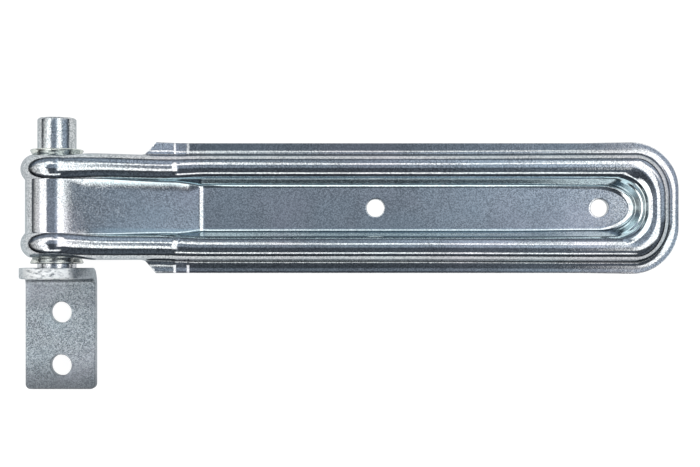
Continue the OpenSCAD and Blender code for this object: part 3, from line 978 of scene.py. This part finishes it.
sky = Sky(world.node_tree)
sky_dir = sky.t.nodes.new("ShaderNodeTexCoord").outputs["Generated"]
sky_xyz = sky.t.nodes.new("ShaderNodeSeparateXYZ")
sky.link(sky_dir, sky_xyz.inputs[0])
up = sky.math("MAXIMUM", sky_xyz.outputs[2], 0.001)
AX = sky.math("MULTIPLY", sky.math("ARCTAN2", sky_xyz.outputs[0], up), 180 / math.pi)
AY = sky.math("MULTIPLY", sky.math("ARCTAN2", sky_xyz.outputs[1], up), 180 / math.pi)


def soft_step(value, a, b, lo=0.0, hi=1.0):
    out = sky.ramp(value, a, b, lo, hi)
    out.node.interpolation_type = "SMOOTHSTEP"
    return out


def band(value, a0, a1, b1, b0, level=1.0):
    """level between a1 and b1, fading to nothing at a0 and b0."""
    return sky.math("MULTIPLY", sky.math("MULTIPLY", soft_step(value, a0, a1), soft_step(value, b0, b1)), level)


def both(a, b):
    return sky.math("MULTIPLY", a, b)


near = sky.math("MULTIPLY", sky.math("SUBTRACT", 3.0, AY), 0.5)
slant = sky.math("SUBTRACT", AX, sky.math("MAXIMUM", sky.math("MULTIPLY", near, -1.0), sky.math("MINIMUM", near, 8.5)))
BOX = 2.15
slant_right = sky.math("SUBTRACT", AX, sky.math("MAXIMUM", near, 0.0))
right_side = both(soft_step(AX, 11, 15.5), soft_step(slant_right, 41.0, 37.6))
box_right = both(sky.math("MULTIPLY", right_side, BOX), band(AY, -28, -18, 50, 60))
box_left = both(sky.math("MAXIMUM", band(slant, -61, -49, -28, -24.5, BOX), band(slant, -94, -64, -50, -40, 1.05)),
                band(AY, -62, -48, 44, 54))
strip_up = both(band(AY, 26, 30, 37, 41, BOX), band(AX, -70, -50, 50, 70))
strip_down = both(band(AY, -60, -56, -49, -45, BOX), band(AX, -50, -40, 20, 30))
lights = sky.math("MAXIMUM", sky.math("MAXIMUM", box_right, box_left), sky.math("MAXIMUM", strip_up, strip_down))
# the room: mid grey above and on the far side, dark on the near side, lighter beside the right box, darkest low down
room = soft_step(AY, -7, 3, 0.112, 0.40)
room = both(room, sky.math("ADD", band(AX, 2, 10, 16, 22, 0.80), 1.0))
room = both(room, both(soft_step(AX, 38, 42, 1.0, 0.76), soft_step(AX, 43, 47.5, 1.0, 1.95)))
room = both(room, soft_step(sky.math("ABSOLUTE", AX), 62, 78, 1.0, 0.28))
room = both(room, soft_step(sky.math("ABSOLUTE", AY), 62, 80, 1.0, 0.45))
room_colour = sky.t.nodes.new("ShaderNodeVectorMath")
room_colour.operation = "SCALE"
room_colour.inputs[0].default_value = (0.86, 1.0, 1.20)
sky.link(room, room_colour.inputs["Scale"])
light_colour = sky.t.nodes.new("ShaderNodeVectorMath")
light_colour.operation = "SCALE"
light_colour.inputs[0].default_value = (1.0, 1.0, 1.0)
sky.link(lights, light_colour.inputs["Scale"])
total = sky.t.nodes.new("ShaderNodeVectorMath")
total.operation = "MAXIMUM"
sky.link(room_colour.outputs[0], total.inputs[0])
sky.link(light_colour.outputs[0], total.inputs[1])
bg = world.node_tree.nodes["Background"]
sky.link(total.outputs[0], bg.inputs["Color"])
bg.inputs["Strength"].default_value = 1.0
world.cycles.sampling_method = "MANUAL"
world.cycles.sample_map_resolution = 1024

# ---------------------------------------------------------------- the camera
cam_data = bpy.data.cameras.new("photo_camera")
cam_data.lens = 66.86
cam_data.sensor_width = 36.0
cam_data.shift_y = (253 - 233.5) / 700
cam = bpy.data.objects.new("photo_camera", cam_data)
cam.location = ((122.08 - PIN_TO_BOLTS) * 1e-3, -0.01928, 0.5607)
cam.rotation_euler = (0, 0, 0)
bpy.context.scene.collection.objects.link(cam)
bpy.context.scene.camera = cam
bpy.context.scene.view_settings.view_transform = "Standard"
